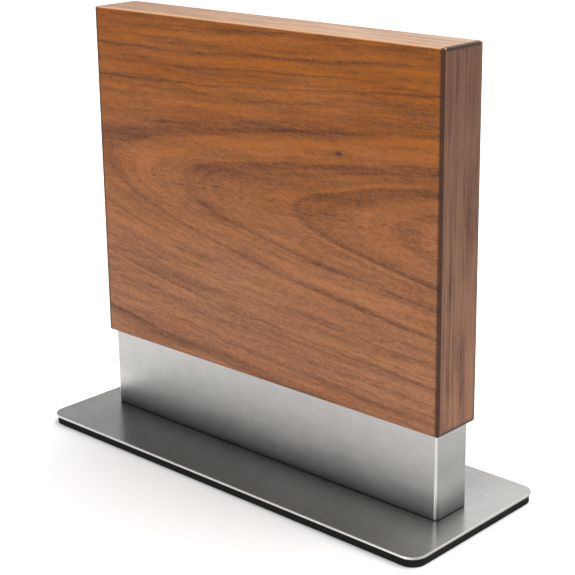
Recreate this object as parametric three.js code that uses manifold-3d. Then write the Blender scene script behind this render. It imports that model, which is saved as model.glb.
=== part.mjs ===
// A double-sided magnetic knife block: a walnut slab with bar magnets behind each face, on a hollow
// steel neck, a steel base plate and a rubber mat, held together by three bolts from below.
//
// Millimetres, +Z up. The slab's length is along X, its front face looks towards -Y, and the origin is
// on the ground under the middle of the mat.

import * as THREE from 'three';
import { RoundedBoxGeometry } from 'three/addons/geometries/RoundedBoxGeometry.js';
import { mergeVertices } from 'three/addons/utils/BufferGeometryUtils.js';
import Module from 'manifold-3d';

const wasm = await Module();
wasm.setup();

// Walnut slab
const SLAB_LENGTH = 285;
const SLAB_DEPTH = 36;
const SLAB_HEIGHT = 224;
const SLAB_ROUND = 1.5;
const LEAF_THICKNESS = 2.5;
const STRIP_THICKNESS = 10;
const GLUE_GAP = 0.1;

// Bar magnets and the steel strips behind them
const MAGNET_LENGTH = 50;
const MAGNET_HEIGHT = 15;
const MAGNET_DEPTH = 4;
const MAGNETS_IN_ROW = 4;
const MAGNET_SPACING = 3;
const ROW_PITCH = 68;
const BACKING_DEPTH = 2;
const GROOVE_CLEARANCE = 0.5;

// Steel neck
const NECK_HEIGHT = 54;
const NECK_INSET_X = 2.5;
const NECK_INSET_Y = 3.5;
const NECK_WALL = 1.2;
const NECK_CORNER = 2.5;
const NECK_REVEAL = 0.3;
const INNER_PLATE_THICKNESS = 3;
const WELD_GAP = 0.15;

// Base plate and mat
const PLATE_OVERHANG_X = 17.5;
const PLATE_OVERHANG_Y = 42;
const PLATE_THICKNESS = 1.5;
const PLATE_CORNER = 10;
const PLATE_BEVEL = 0.3;
const MAT_THICKNESS = 5;
const MAT_INSET = 1;
const MAT_BEVEL = 0.2;

// Tie bolts, washers and threaded inserts
const BOLT_DIAMETER = 6;
const BOLT_INSET = 42.5;
const BOLT_ENGAGEMENT = 12.5;
const BOLT_CHAMFER = 0.8;
const HEAD_DIAMETER = 12;
const HEAD_HEIGHT = 2.6;
const HEAD_CHAMFER = 0.4;
const SOCKET_ACROSS_FLATS = 4;
const SOCKET_DEPTH = 1.6;
const WASHER_DIAMETER = 14;
const WASHER_THICKNESS = 0.8;
const HOLE_CLEARANCE = 0.6;
const MAT_HOLE_CLEARANCE = 2;
const SEAT_GAP = 0.1;
const INSERT_LENGTH = 20;
const INSERT_WALL = 1.8;
const INSERT_RECESS = 0.9;
const INSERT_GROOVE = 0.5;
const INSERT_RINGS = 2;
const THREAD_CLEARANCE = 0.2;
const INSERT_CLEARANCE = 0.2;

// Smoothness of the curved surfaces
const ROUND_SEGMENTS = 3;
const CORNER_SEGMENTS = 6;
const CIRCLE_SEGMENTS = 20;

// Heights of the stack above the ground, and the sizes that fit each other
const PLATE_BOTTOM = MAT_THICKNESS + GLUE_GAP;
const PLATE_TOP = PLATE_BOTTOM + PLATE_THICKNESS;
const SLAB_BOTTOM = PLATE_TOP + NECK_HEIGHT;
const NECK_LENGTH = SLAB_LENGTH - 2 * NECK_INSET_X;
const NECK_DEPTH = SLAB_DEPTH - 2 * NECK_INSET_Y;
const PLATE_LENGTH = SLAB_LENGTH + 2 * PLATE_OVERHANG_X;
const PLATE_DEPTH = SLAB_DEPTH + 2 * PLATE_OVERHANG_Y;
const CORE_LENGTH = SLAB_LENGTH - 2 * (STRIP_THICKNESS + GLUE_GAP);
const CORE_DEPTH = SLAB_DEPTH - 2 * (LEAF_THICKNESS + GLUE_GAP);
const CORE_HEIGHT = SLAB_HEIGHT - 2 * (STRIP_THICKNESS + GLUE_GAP);
const ROW_LENGTH = MAGNETS_IN_ROW * MAGNET_LENGTH + (MAGNETS_IN_ROW - 1) * MAGNET_SPACING;
const MAGNET_FACE = CORE_DEPTH / 2 - GLUE_GAP;
const BACKING_FACE = MAGNET_FACE - MAGNET_DEPTH - GLUE_GAP;
const GROOVE_FLOOR = BACKING_FACE - BACKING_DEPTH - GLUE_GAP;
const BOLT_HOLE_RADIUS = (BOLT_DIAMETER + HOLE_CLEARANCE) / 2;
const MAT_HOLE_RADIUS = (WASHER_DIAMETER + MAT_HOLE_CLEARANCE) / 2;
const INSERT_BORE_RADIUS = (BOLT_DIAMETER + THREAD_CLEARANCE) / 2;
const INSERT_RADIUS = INSERT_BORE_RADIUS + INSERT_WALL;
const INSERT_BOTTOM = SLAB_BOTTOM + STRIP_THICKNESS + GLUE_GAP + INSERT_RECESS;
const WASHER_TOP = PLATE_BOTTOM - SEAT_GAP;
const HEAD_TOP = WASHER_TOP - WASHER_THICKNESS - SEAT_GAP;
const BOLT_LENGTH = INSERT_BOTTOM + BOLT_ENGAGEMENT - HEAD_TOP;

const BOLT_PITCH = SLAB_LENGTH / 2 - BOLT_INSET;
const BOLTS = [
  ['left', -BOLT_PITCH],
  ['middle', 0],
  ['right', BOLT_PITCH],
];
const ROWS = [
  ['top', ROW_PITCH],
  ['middle', 0],
  ['bottom', -ROW_PITCH],
];
const FACES = [
  ['front', -1],
  ['rear', 1],
];

const WALNUT = { color: '#9a6340', roughness: 0.5, metalness: 0 };
const WALNUT_EDGE = { color: '#8f6a55', roughness: 0.55, metalness: 0 };
const CORE_WOOD = { color: '#b08d62', roughness: 0.7, metalness: 0 };
const BRUSHED_STEEL = { color: '#b4b1ab', roughness: 0.35, metalness: 1 };
const ZINC_STEEL = { color: '#a4a9ad', roughness: 0.4, metalness: 1 };
const NICKEL = { color: '#c3c1ba', roughness: 0.25, metalness: 1 };
const BRASS = { color: '#b08d4c', roughness: 0.35, metalness: 1 };
const RUBBER = { color: '#2b2a28', roughness: 0.85, metalness: 0 };

/** A solid from a closed geometry: its surface's seams are joined and its empty triangles dropped. */
function toSolid(geometry) {
  const bare = geometry.clone();
  bare.deleteAttribute('normal');
  bare.deleteAttribute('uv');
  const merged = mergeVertices(bare);
  const corners = merged.index.array;
  const triangles = [];
  for (let i = 0; i < corners.length; i += 3) {
    const [a, b, c] = corners.slice(i, i + 3);
    if (a !== b && b !== c && c !== a) triangles.push(a, b, c);
  }
  return new wasm.Manifold(new wasm.Mesh({
    numProp: 3,
    vertProperties: merged.attributes.position.array,
    triVerts: Uint32Array.from(triangles),
  }));
}

/** A geometry from a solid. */
function toGeometry(solid) {
  const { vertProperties, triVerts } = solid.getMesh();
  const geometry = new THREE.BufferGeometry();
  geometry.setAttribute('position', new THREE.BufferAttribute(vertProperties, 3));
  geometry.setIndex(new THREE.BufferAttribute(triVerts, 1));
  geometry.computeVertexNormals();
  return geometry;
}

/** A mesh with a material of its own. */
function piece(name, geometry, finish) {
  const mesh = new THREE.Mesh(geometry, new THREE.MeshStandardMaterial(finish));
  mesh.name = name;
  return mesh;
}

/** A box solid with its middle at y and z. */
function boxSolid(length, depth, height, y = 0, z = 0) {
  return toSolid(new THREE.BoxGeometry(length, depth, height).translate(0, y, z));
}

/** A round bar solid along Z, at x, from z up. */
function barSolid(radius, height, x, z) {
  const bar = new THREE.CylinderGeometry(radius, radius, height, CIRCLE_SEGMENTS);
  return toSolid(bar.rotateX(Math.PI / 2).translate(x, 0, z + height / 2));
}

/** The solid with a hole along Z cut through it at every bolt. */
function drilled(solid, radius, bottom, depth) {
  let cut = solid;
  for (const [, x] of BOLTS) {
    cut = cut.subtract(barSolid(radius, depth, x, bottom));
  }
  return cut;
}

/** A rectangle with round corners, centred on the origin. */
function roundedRectangle(path, length, depth, radius) {
  const x = length / 2 - radius;
  const y = depth / 2 - radius;
  path.absarc(x, y, radius, 0, Math.PI / 2);
  path.absarc(-x, y, radius, Math.PI / 2, Math.PI);
  path.absarc(-x, -y, radius, Math.PI, 1.5 * Math.PI);
  path.absarc(x, -y, radius, 1.5 * Math.PI, 2 * Math.PI);
  path.closePath();
  return path;
}

/** A flat sheet with round corners, bevelled top and bottom, standing on z = 0. */
function sheetGeometry(length, depth, thickness, radius, bevel) {
  const outline = roundedRectangle(new THREE.Shape(), length, depth, radius);
  const sheet = new THREE.ExtrudeGeometry(outline, {
    depth: thickness - 2 * bevel,
    bevelEnabled: bevel > 0,
    bevelThickness: bevel,
    bevelSize: bevel,
    bevelOffset: -bevel,
    bevelSegments: 1,
    curveSegments: CORNER_SEGMENTS,
  });
  return sheet.translate(0, 0, bevel);
}

/** The whole slab before it is divided, centred on the origin. */
function slabBlank() {
  const shape = new RoundedBoxGeometry(SLAB_LENGTH, SLAB_DEPTH, SLAB_HEIGHT, ROUND_SEGMENTS, SLAB_ROUND);
  return toSolid(shape);
}

/** A walnut leaf that covers one whole face of the slab. */
function leaf(side) {
  const y = side * (SLAB_DEPTH - LEAF_THICKNESS) / 2;
  return toGeometry(slabBlank().intersect(boxSolid(SLAB_LENGTH, LEAF_THICKNESS, SLAB_HEIGHT, y)));
}

/** A prism along Y that one edge strip is cut from: a trapezoid with mitred ends. */
function mitrePrism(length, height, trim) {
  const inner = height / 2 - STRIP_THICKNESS;
  const innerEnd = length / 2 - STRIP_THICKNESS - trim;
  const outerEnd = length / 2 - trim;
  const outline = new THREE.Shape([
    new THREE.Vector2(-innerEnd, inner),
    new THREE.Vector2(innerEnd, inner),
    new THREE.Vector2(outerEnd, height / 2),
    new THREE.Vector2(-outerEnd, height / 2),
  ]);
  const prism = new THREE.ExtrudeGeometry(outline, { depth: CORE_DEPTH, bevelEnabled: false });
  return prism.translate(0, 0, -CORE_DEPTH / 2).rotateX(Math.PI / 2);
}

/** The top strip, or the bottom one turned over; it stops short of the end strips' mitres. */
function lengthStrip(turn) {
  const prism = mitrePrism(SLAB_LENGTH, SLAB_HEIGHT, GLUE_GAP).rotateY(turn);
  return slabBlank().intersect(toSolid(prism));
}

/** The left or right strip. */
function endStrip(turn) {
  const prism = mitrePrism(SLAB_HEIGHT, SLAB_LENGTH, 0).rotateY(turn);
  return toGeometry(slabBlank().intersect(toSolid(prism)));
}

/** The board between the leaves, grooved for the magnets and bored for the inserts. */
function coreBoard() {
  let board = boxSolid(CORE_LENGTH, CORE_DEPTH, CORE_HEIGHT);
  const grooveDepth = CORE_DEPTH / 2 - GROOVE_FLOOR;
  const grooveLength = ROW_LENGTH + 2 * GROOVE_CLEARANCE;
  const grooveHeight = MAGNET_HEIGHT + 2 * GROOVE_CLEARANCE;
  for (const [, side] of FACES) {
    const y = side * (GROOVE_FLOOR + grooveDepth / 2);
    for (const [, z] of ROWS) {
      board = board.subtract(boxSolid(grooveLength, grooveDepth, grooveHeight, y, z));
    }
  }
  const boreRadius = INSERT_RADIUS + INSERT_CLEARANCE;
  return toGeometry(drilled(board, boreRadius, -CORE_HEIGHT / 2, INSERT_RECESS + INSERT_LENGTH));
}

/** The walnut slab with all that is glued inside it, centred on the origin. */
function slab() {
  const group = new THREE.Group();
  for (const [face, side] of FACES) {
    group.add(piece(`${face}_leaf`, leaf(side), WALNUT));
  }
  const bottomStrip = drilled(lengthStrip(Math.PI), BOLT_HOLE_RADIUS, -SLAB_HEIGHT / 2, STRIP_THICKNESS);
  group.add(piece('top_edge_strip', toGeometry(lengthStrip(0)), WALNUT_EDGE));
  group.add(piece('bottom_edge_strip', toGeometry(bottomStrip), WALNUT_EDGE));
  group.add(piece('left_edge_strip', endStrip(-Math.PI / 2), WALNUT_EDGE));
  group.add(piece('right_edge_strip', endStrip(Math.PI / 2), WALNUT_EDGE));
  group.add(piece('core_board', coreBoard(), CORE_WOOD));
  for (const [face, side] of FACES) {
    for (const [row, z] of ROWS) {
      group.add(backing(`${face}_backing_${row}`, side, z));
      for (let i = 0; i < MAGNETS_IN_ROW; i += 1) {
        group.add(magnet(`${face}_magnet_${row}_${i + 1}`, side, i, z));
      }
    }
  }
  return group;
}

/** The steel strip on the floor of a groove. */
function backing(name, side, z) {
  const strip = piece(name, new THREE.BoxGeometry(ROW_LENGTH, BACKING_DEPTH, MAGNET_HEIGHT), ZINC_STEEL);
  strip.position.set(0, side * (BACKING_FACE - BACKING_DEPTH / 2), z);
  return strip;
}

/** One bar magnet of a row, counted from the left. */
function magnet(name, side, index, z) {
  const bar = piece(name, new THREE.BoxGeometry(MAGNET_LENGTH, MAGNET_DEPTH, MAGNET_HEIGHT), NICKEL);
  const x = (MAGNET_LENGTH - ROW_LENGTH) / 2 + index * (MAGNET_LENGTH + MAGNET_SPACING);
  bar.position.set(x, side * (MAGNET_FACE - MAGNET_DEPTH / 2), z);
  return bar;
}

/** The open rectangular shell of the neck. */
function neckShell() {
  const outline = roundedRectangle(new THREE.Shape(), NECK_LENGTH, NECK_DEPTH, NECK_CORNER);
  const inner = NECK_CORNER - NECK_WALL;
  const hollow = new THREE.Path();
  outline.holes.push(
    roundedRectangle(hollow, NECK_LENGTH - 2 * NECK_WALL, NECK_DEPTH - 2 * NECK_WALL, inner),
  );
  const shell = new THREE.ExtrudeGeometry(outline, {
    depth: NECK_HEIGHT - NECK_REVEAL - GLUE_GAP,
    bevelEnabled: false,
    curveSegments: CORNER_SEGMENTS,
  });
  return shell.translate(0, 0, PLATE_TOP + NECK_REVEAL);
}

/** A plate welded inside the neck, standing on bottom, with the bolts' holes. */
function innerPlate(bottom) {
  const length = NECK_LENGTH - 2 * (NECK_WALL + WELD_GAP);
  const depth = NECK_DEPTH - 2 * (NECK_WALL + WELD_GAP);
  const corner = NECK_CORNER - NECK_WALL - WELD_GAP;
  const sheet = sheetGeometry(length, depth, INNER_PLATE_THICKNESS, corner, 0).translate(0, 0, bottom);
  return toGeometry(drilled(toSolid(sheet), BOLT_HOLE_RADIUS, bottom, INNER_PLATE_THICKNESS));
}

/** The wide steel plate. */
function basePlate() {
  const sheet = sheetGeometry(PLATE_LENGTH, PLATE_DEPTH, PLATE_THICKNESS, PLATE_CORNER, PLATE_BEVEL);
  const plate = toSolid(sheet.translate(0, 0, PLATE_BOTTOM));
  return toGeometry(drilled(plate, BOLT_HOLE_RADIUS, PLATE_BOTTOM, PLATE_THICKNESS));
}

/** The rubber mat, with a well for each bolt's head. */
function mat() {
  const length = PLATE_LENGTH - 2 * MAT_INSET;
  const depth = PLATE_DEPTH - 2 * MAT_INSET;
  const sheet = sheetGeometry(length, depth, MAT_THICKNESS, PLATE_CORNER - MAT_INSET, MAT_BEVEL);
  return toGeometry(drilled(toSolid(sheet), MAT_HOLE_RADIUS, 0, MAT_THICKNESS));
}

/** The neck, plate and mat, in the whole object's frame. */
function stand() {
  const group = new THREE.Group();
  const headPlateBottom = SLAB_BOTTOM - GLUE_GAP - INNER_PLATE_THICKNESS;
  group.add(piece('neck_shell', neckShell(), BRUSHED_STEEL));
  group.add(piece('neck_head_plate', innerPlate(headPlateBottom), ZINC_STEEL));
  group.add(piece('neck_foot_plate', innerPlate(PLATE_TOP + SEAT_GAP), ZINC_STEEL));
  group.add(piece('base_plate', basePlate(), BRUSHED_STEEL));
  group.add(piece('non_slip_mat', mat(), RUBBER));
  return group;
}

/** A solid of revolution about Z from a profile of [radius, height] pairs. */
function turned(profile) {
  const points = profile.map(([radius, height]) => new THREE.Vector2(radius, height));
  return new THREE.LatheGeometry(points, CIRCLE_SEGMENTS).rotateX(Math.PI / 2);
}

/** A low-headed bolt with a hexagon socket, its head's upper face at z = 0 and its shank above. */
function bolt() {
  const head = HEAD_DIAMETER / 2;
  const shank = BOLT_DIAMETER / 2;
  const body = toSolid(turned([
    [0, -HEAD_HEIGHT],
    [head - HEAD_CHAMFER, -HEAD_HEIGHT],
    [head, HEAD_CHAMFER - HEAD_HEIGHT],
    [head, 0],
    [shank, 0],
    [shank, BOLT_LENGTH - BOLT_CHAMFER],
    [shank - BOLT_CHAMFER, BOLT_LENGTH],
    [0, BOLT_LENGTH],
  ]));
  const socketRadius = SOCKET_ACROSS_FLATS / Math.sqrt(3);
  const key = new THREE.CylinderGeometry(socketRadius, socketRadius, 2 * SOCKET_DEPTH, 6);
  const socket = toSolid(key.rotateX(Math.PI / 2).translate(0, 0, -HEAD_HEIGHT));
  return toGeometry(body.subtract(socket));
}

/** A washer standing on z = 0. */
function washer() {
  const outer = WASHER_DIAMETER / 2;
  return turned([
    [BOLT_HOLE_RADIUS, 0],
    [outer, 0],
    [outer, WASHER_THICKNESS],
    [BOLT_HOLE_RADIUS, WASHER_THICKNESS],
    [BOLT_HOLE_RADIUS, 0],
  ]);
}

/** A sleeve with grip rings round its outside, standing on z = 0. */
function threadedInsert() {
  const step = INSERT_LENGTH / (2 * INSERT_RINGS + 1);
  const profile = [[INSERT_BORE_RADIUS, 0], [INSERT_RADIUS, 0]];
  for (let ring = 0; ring < INSERT_RINGS; ring += 1) {
    const low = (2 * ring + 1) * step;
    profile.push([INSERT_RADIUS, low], [INSERT_RADIUS - INSERT_GROOVE, low]);
    profile.push([INSERT_RADIUS - INSERT_GROOVE, low + step], [INSERT_RADIUS, low + step]);
  }
  profile.push([INSERT_RADIUS, INSERT_LENGTH], [INSERT_BORE_RADIUS, INSERT_LENGTH]);
  profile.push([INSERT_BORE_RADIUS, 0]);
  return turned(profile);
}

/** The three bolts with their washers and inserts, in the whole object's frame. */
function fasteners() {
  const group = new THREE.Group();
  for (const [place, x] of BOLTS) {
    const tieBolt = piece(`tie_bolt_${place}`, bolt(), ZINC_STEEL);
    const ring = piece(`washer_${place}`, washer(), ZINC_STEEL);
    const insert = piece(`threaded_insert_${place}`, threadedInsert(), BRASS);
    tieBolt.position.set(x, 0, HEAD_TOP);
    ring.position.set(x, 0, WASHER_TOP - WASHER_THICKNESS);
    insert.position.set(x, 0, INSERT_BOTTOM);
    group.add(tieBolt, ring, insert);
  }
  return group;
}

const knifeBlock = new THREE.Group();
const woodenSlab = slab();
woodenSlab.position.z = SLAB_BOTTOM + SLAB_HEIGHT / 2;
knifeBlock.add(woodenSlab, stand(), fasteners());

export default knifeBlock;
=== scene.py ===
"""The looks of a double-sided magnetic knife block: walnut, brushed steel and rubber, round its frame.

Shapes are in metres and patterns in millimetres, +Z up, with the slab's length along X and its front face
towards -Y.
"""

import math

import bmesh
import bpy
import numpy as np
from mathutils import Matrix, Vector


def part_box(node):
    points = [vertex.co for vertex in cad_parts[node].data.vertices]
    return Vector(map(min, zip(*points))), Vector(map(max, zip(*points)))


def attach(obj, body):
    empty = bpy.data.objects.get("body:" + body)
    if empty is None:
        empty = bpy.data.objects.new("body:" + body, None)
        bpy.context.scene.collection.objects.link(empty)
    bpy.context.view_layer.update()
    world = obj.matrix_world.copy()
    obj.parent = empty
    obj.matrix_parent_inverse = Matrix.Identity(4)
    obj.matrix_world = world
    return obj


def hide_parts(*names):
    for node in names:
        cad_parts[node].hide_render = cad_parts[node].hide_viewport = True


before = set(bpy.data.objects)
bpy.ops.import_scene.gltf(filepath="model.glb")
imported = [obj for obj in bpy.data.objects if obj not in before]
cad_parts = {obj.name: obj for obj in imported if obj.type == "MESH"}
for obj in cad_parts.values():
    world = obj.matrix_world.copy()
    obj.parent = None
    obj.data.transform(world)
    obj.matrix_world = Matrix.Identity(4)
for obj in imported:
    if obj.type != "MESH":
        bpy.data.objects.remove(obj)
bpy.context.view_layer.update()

bl_info = {
    "name": "Magnetic Knife Block",
    "version": (1, 0, 0),
    "blender": (4, 5, 0),
    "location": "3D View > Sidebar > Knife Block",
    "description": "Builds a walnut and steel magnetic knife block round its frame",
    "category": "Add Mesh",
}

MM = 0.001
ROOT = "root"

# Boxes of the frame's nodes that places and sizes come from, as (low, high) corners
FRONT_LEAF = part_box("front_leaf")
REAR_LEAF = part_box("rear_leaf")
TOP_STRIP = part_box("top_edge_strip")
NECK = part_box("neck_shell")
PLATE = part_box("base_plate")
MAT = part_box("non_slip_mat")
BOLT_PLACES = ("left", "middle", "right")
MAGNET_NODES = sorted(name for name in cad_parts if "_magnet_" in name)
BACKING_NODES = sorted(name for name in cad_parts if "_backing_" in name)

# The slab: half its length, the heights of its underside, top and middle, half its depth, how thick its
# edge strips are, and the plane where the front leaf meets them
SLAB_HALF = FRONT_LEAF[1][0]
SLAB_BOTTOM = FRONT_LEAF[0][2]
SLAB_TOP = FRONT_LEAF[1][2]
SLAB_MIDDLE = (SLAB_BOTTOM + SLAB_TOP) / 2
SLAB_FACE = REAR_LEAF[1][1]
STRIP_THICKNESS = SLAB_TOP - TOP_STRIP[0][2]
LEAF_BACK = (FRONT_LEAF[1][1] + TOP_STRIP[0][1]) / 2

# Sheets and fasteners
BOLT_HOLE_RADIUS = 3.3 * MM
MAT_HOLE_RADIUS = 8 * MM
PLATE_LOW_EDGE = 0.3 * MM
HEAD_HEIGHT = 2.6 * MM
SHANK_RADIUS = 3.0 * MM
SOCKET_RADIUS = 2.0 * MM
SOCKET_DEPTH = 1.6 * MM
THREAD_LENGTH = 26 * MM
THREAD_PITCH = 1.0 * MM
THREAD_DEPTH = 0.55 * MM

# Meshes: points closer than this are merged, edges that turn more than this stay sharp, a face whose normal
# rises less than this is an edge, directions closer than this are one, DIGITS is what places and directions
# are rounded to, and TINY stands in for 0
MERGE_DISTANCE = 0.0005 * MM
SHARP_ANGLE = math.radians(35)
LEVEL_NORMAL = 0.95
ONE_DIRECTION = 1e-6
DIGITS = 9
TINY = 1e-9

# Shades of end grain, of the upright strips' upper ends and of the long strips' left ends
END_GRAIN_SHADE = 0.6
UPPER_END_SHADE = 0.6
LEFT_END_SHADE = 0.78

# Colours of the painted shade along the wood's rounded edges, of dust and of the hidden core board
EDGE_SHADE = (0.02, 0.011, 0.008, 1)
DUST = (0.06, 0.056, 0.052, 1)
CORE_PALE = (0.50, 0.33, 0.17, 1)
CORE_BROWN = (0.34, 0.19, 0.09, 1)
CORE_FIBRE = (0.26, 0.14, 0.07, 1)

# The stage: the floor stands just clear of the mat, and angles are in degrees. An edge is how squarely a
# direction points at a light or screen where it starts and ends, and a top is the direction's rise there
FLOOR_HALF = 6.0
FLOOR_LEVEL = -0.1 * MM
SOFTBOX_WAY = (0.22, 0.42, 0.88)
SOFTBOX_EDGE = (0.74, 0.93)
BLACK_EDGE = (0.66, 0.88)
BLACK_TOP = (0.6, 0.75)
GREY_EDGE = (0.86, 0.915)
GREY_TOP = (0.5, 0.65)
CAMERA_PLACE = (0.6163, -0.6489, 0.4101)
CAMERA_HEADING = 43.02
CAMERA_DOWN = 15.97
CAMERA_TILT = -0.77
CAMERA_SHIFT = -0.099


# ---------------------------------------------------------------------------------------------
# Settings
# ---------------------------------------------------------------------------------------------

def a_length(name, description, default, low, high):
    """A length setting, given in millimetres."""
    return bpy.props.FloatProperty(
        name=name, description=description, default=default * MM, min=low * MM, max=high * MM,
        subtype="DISTANCE", unit="LENGTH",
    )


def a_colour(name, description, default):
    """A colour setting."""
    return bpy.props.FloatVectorProperty(
        name=name, description=description, default=default, subtype="COLOR", min=0, max=1,
    )


def a_number(name, description, default, low, high):
    """A setting that is a plain number: a brightness, a heading or a focal length."""
    return bpy.props.FloatProperty(name=name, description=description, default=default, min=low, max=high)


class KnifeBlockSizes(bpy.types.PropertyGroup):
    """Sizes of the edges and corners."""

    slab_round: a_length("Slab edge radius", "Radius of the slab's outer edges", 1.5, 0.5, 2.4)
    neck_corner: a_length("Neck corner radius", "Outer radius of the neck's upright corners", 2.5, 1.3, 6)
    neck_wall: a_length("Neck wall", "Thickness of the neck's sheet", 1.2, 0.8, 1.2)
    plate_corner: a_length(
        "Plate corner radius", "Radius of the base plate's corners, seen from above", 10, 3, 25
    )
    plate_edge: a_length("Plate edge round", "Radius of the base plate's polished edge", 0.4, 0.1, 0.9)
    mat_edge: a_length("Mat edge round", "Radius of the rubber mat's edges", 0.2, 0.1, 1.5)


class KnifeBlockColours(bpy.types.PropertyGroup):
    """Colours of the materials."""

    walnut_warm: a_colour("Walnut, warm", "Orange brown of the walnut's upper part", (0.278, 0.083, 0.007))
    # Partly painted sheen: the leaves' lower part is lighter and pinker for a reflected sheen as well as
    # its own tone
    walnut_pale_and_sheen: a_colour(
        "Walnut, pale", "Paler, pinker brown of the walnut's lower part", (0.340, 0.147, 0.073)
    )
    walnut_dark: a_colour("Walnut, dark", "Walnut at a growth line", (0.062, 0.023, 0.012))
    walnut_end: a_colour(
        "Walnut, end strips", "Greyer brown of the upright edge strips", (0.208, 0.098, 0.055)
    )
    # Partly painted light: the long strips' light brown is raised to stand in for the bright overhead light
    # on the top face
    walnut_long_and_lit: a_colour(
        "Walnut, long strips", "Light brown of the top and bottom edge strips", (0.400, 0.250, 0.166)
    )
    # A painted highlight: the light brown along the leaves' upper edges stands for the overhead light
    # caught on their rounding
    walnut_rim_highlight: a_colour(
        "Walnut, upper rim", "Light brown of the leaves' upper edges", (0.500, 0.270, 0.145)
    )
    steel: a_colour("Stainless steel", "Reflection of the brushed steel", (0.475, 0.467, 0.454))
    # Partly a painted highlight: the polished edge's tone is raised above the steel's to make its bright
    # line
    steel_edge_highlight: a_colour(
        "Polished edge", "Reflection of the base plate's polished edge", (0.82, 0.81, 0.79)
    )
    zinc: a_colour("Zinc plating", "Reflection of the bolts and the hidden steel", (0.55, 0.58, 0.60))
    nickel: a_colour("Nickel plating", "Reflection of the magnets", (0.66, 0.63, 0.58))
    brass: a_colour("Brass", "Reflection of the threaded inserts", (0.62, 0.44, 0.18))
    rubber: a_colour("Rubber", "The mat's black", (0.010, 0.0095, 0.009))


class KnifeBlockStage(bpy.types.PropertyGroup):
    """The floor, the light and the camera."""

    floor: a_colour("Floor", "Colour of the pale floor", (0.74, 0.74, 0.74))
    overhead: a_number("Overhead light", "Brightness of the softbox above", 4.5, 0, 10)
    strip: a_number("Strip light", "Brightness of the upright light in front", 12.0, 0, 30)
    walls: a_number("Walls", "Brightness of the pale walls", 1.12, 0, 10)
    black: a_number("Black screen", "Brightness of the black screen", 0.02, 0, 10)
    black_side: a_number("Black screen's side", "Its heading in degrees, from X towards Y", 224, 0, 360)
    grey_side: a_number("Grey screen's side", "Its heading in degrees, from X towards Y", 155, 0, 360)
    lens: a_number("Lens", "Focal length on a 36 mm sensor, in millimetres", 93.4, 20, 300)


# ---------------------------------------------------------------------------------------------
# Node materials
# ---------------------------------------------------------------------------------------------

class Field:
    """A shader socket that Python arithmetic works on: each operator adds one Math node."""

    def __init__(self, graph, socket):
        self.graph = graph
        self.socket = socket

    def math(self, operation, *values):
        return self.graph.node("ShaderNodeMath", {"operation": operation}, dict(enumerate(values)))

    def __add__(self, other):
        return self.math("ADD", self, other)

    def __radd__(self, other):
        return self.math("ADD", other, self)

    def __sub__(self, other):
        return self.math("SUBTRACT", self, other)

    def __rsub__(self, other):
        return self.math("SUBTRACT", other, self)

    def __mul__(self, other):
        return self.math("MULTIPLY", self, other)

    def __rmul__(self, other):
        return self.math("MULTIPLY", other, self)

    def __truediv__(self, other):
        return self.math("DIVIDE", self, other)

    def __pow__(self, other):
        return self.math("POWER", self, other)

    def __abs__(self):
        return self.math("ABSOLUTE", self)

    def root(self):
        return self.math("SQRT", self)

    def exp(self):
        return self.math("EXPONENT", self)

    def least(self, other):
        return self.math("MINIMUM", self, other)

    def most(self, other):
        return self.math("MAXIMUM", self, other)

    def clamped(self):
        return self.most(0).least(1)

    def step(self, low, high):
        """0 up to low, 1 from high, and a smooth rise between them."""
        inputs = {0: self, 1: low, 2: high, 3: 0.0, 4: 1.0}
        return self.graph.node("ShaderNodeMapRange", {"interpolation_type": "SMOOTHSTEP"}, inputs)

    def ramp(self, stops):
        """The value read off straight lines between (position, value) stops, with positions from 0 to 1."""
        return self.graph.node("ShaderNodeValToRGB", {"stops": stops}, {0: self})


class Graph:
    """A node tree, and the one way that nodes are added to it."""

    def __init__(self, tree):
        self.tree = tree
        tree.nodes.clear()

    def node(self, kind, settings=None, inputs=None, output=0):
        """Adds a node, makes its settings, fills its sockets, and returns one of its outputs, if any."""
        made = self.tree.nodes.new(kind)
        for name, value in (settings or {}).items():
            if name == "stops":
                self.place_stops(made.color_ramp.elements, value)
            else:
                setattr(made, name, value)
        for name, value in (inputs or {}).items():
            if isinstance(value, Field):
                self.tree.links.new(value.socket, made.inputs[name])
            else:
                made.inputs[name].default_value = value
        return Field(self, made.outputs[output]) if made.outputs else None

    def place_stops(self, elements, stops):
        """A ramp starts with two stops, and each further one is added where it stands."""
        while len(elements) > 1:
            elements.remove(elements[-1])
        elements[0].position = stops[0][0]
        elements[0].color = (stops[0][1],) * 3 + (1,)
        for position, value in stops[1:]:
            elements.new(position).color = (value,) * 3 + (1,)

    def point(self, x, y, z):
        return self.node("ShaderNodeCombineXYZ", None, {0: x, 1: y, 2: z})

    def split(self, vector):
        return [self.node("ShaderNodeSeparateXYZ", None, {0: vector}, output=i) for i in range(3)]

    def noise(self, x, y, z, detail, roughness=0.5):
        """Smooth noise round 0.5 at a point given in noise cells."""
        inputs = {"Vector": self.point(x, y, z), "Scale": 1.0, "Detail": detail, "Roughness": roughness}
        return self.node("ShaderNodeTexNoise", None, inputs)

    def mix(self, factor, first, second):
        """From the first colour at 0 to the second at 1."""
        settings = {"data_type": "RGBA", "clamp_factor": True}
        return self.node("ShaderNodeMix", settings, {0: factor, 6: first, 7: second}, output=2)

    def tinted(self, tone, shade):
        """A colour made lighter or darker by a shade."""
        return self.node("ShaderNodeVectorMath", {"operation": "SCALE"}, {0: tone[:3], "Scale": shade})

    def place(self):
        """The piece's own coordinates, in millimetres."""
        here = self.node("ShaderNodeTexCoord", output=3)
        return [axis * (1 / MM) for axis in self.split(here)]

    def bump(self, height, distance, strength):
        """A normal from a height of 0 to 1 that stands for a real depth in metres."""
        inputs = {"Height": height, "Distance": distance, "Strength": strength}
        return self.node("ShaderNodeBump", None, inputs)


def colour(rgb):
    """A colour setting as a socket's four numbers."""
    return (*rgb, 1.0)


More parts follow.
